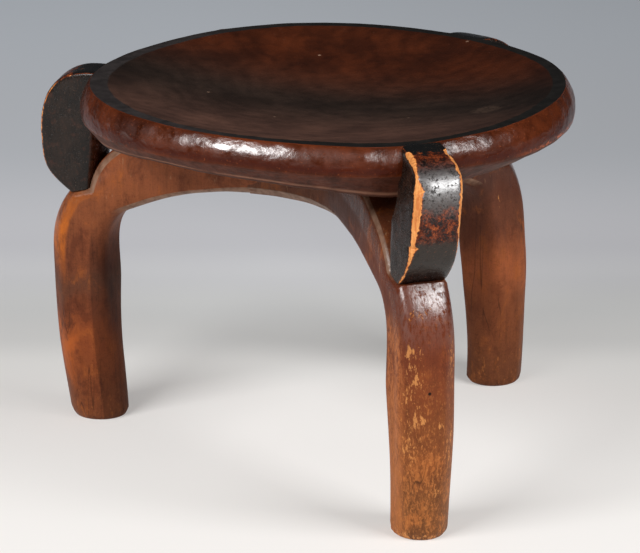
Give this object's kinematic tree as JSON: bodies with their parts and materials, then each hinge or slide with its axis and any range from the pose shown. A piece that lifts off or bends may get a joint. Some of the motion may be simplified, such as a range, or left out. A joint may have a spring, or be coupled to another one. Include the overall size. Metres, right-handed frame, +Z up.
{
  "type": "three-legged stool",
  "caption": "Low carved wooden stool: round dished seat with a flat band and ridged rim, bowed legs that meet in a hub below it, and flat lugs tying the rim to each leg's shoulder.",
  "frame": {"origin": "on the floor, at the bottom centre of the box round the stool", "axes": "+Z up out of the seat, -Y towards the front leg, +X to the right of someone who faces the front leg"},
  "size_m": [0.3058, 0.3158, 0.221],
  "materials": {
    "seat_wood": "dark red-brown hand-polished patina, charred band at the rim",
    "hub_wood": "dull dark brown tool-finished wood",
    "leg_wood": "orange-brown hand-worn wood, satin",
    "lug_wood": "charred black with orange bare wood worn through at the edges"
  },
  "bodies": {
    "root": {"seat": "seat_wood", "hub": "hub_wood", "leg_front": "leg_wood", "leg_right": "leg_wood", "leg_left": "leg_wood", "lug_front": "lug_wood", "lug_right": "lug_wood", "lug_left": "lug_wood"}
  },
  "joints": []
}
